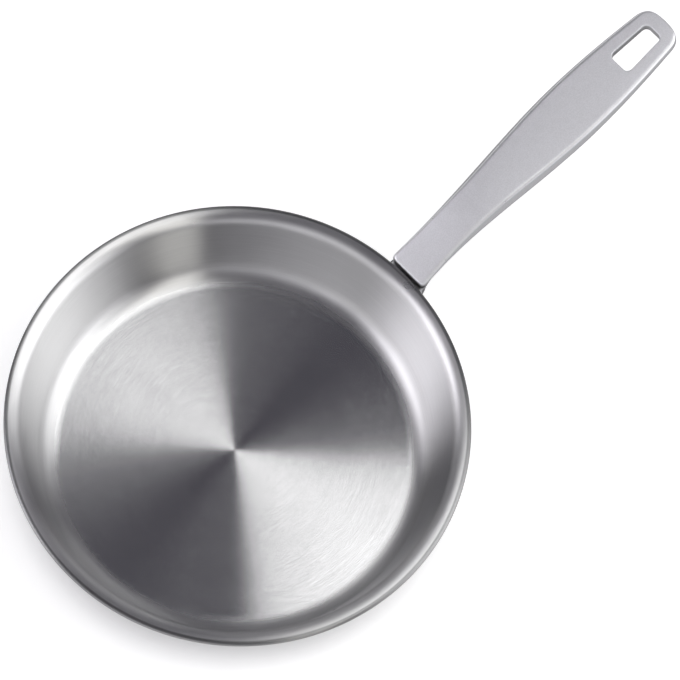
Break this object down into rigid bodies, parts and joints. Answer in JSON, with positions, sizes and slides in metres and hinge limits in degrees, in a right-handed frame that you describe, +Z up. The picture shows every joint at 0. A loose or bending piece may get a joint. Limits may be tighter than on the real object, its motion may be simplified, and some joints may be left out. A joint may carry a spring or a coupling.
{
  "type": "frying pan",
  "caption": "Round steel frying pan with a flared lip, straight leaning wall, capsule base and a long arched cast handle with a hanging slot, welded to the wall.",
  "frame": {"origin": "centre of the flat underside of the base, which stands on the hob", "axes": "+X from the pan's centre along the handle to its tip, +Z up out of the pan"},
  "size_m": [0.4439, 0.25, 0.0965],
  "materials": {
    "body_steel": "brushed in circles inside, satin outside",
    "disc_aluminium": "plain, sealed inside the base",
    "cap_steel": "turned in fine rings",
    "handle_steel": "bead blasted to an even satin",
    "weld_steel": "rippled weld"
  },
  "bodies": {
    "root": {"pan_body": "body_steel", "heat_disc": "disc_aluminium", "base_cap": "cap_steel", "handle": "handle_steel", "weld_bead": "weld_steel"}
  },
  "joints": []
}
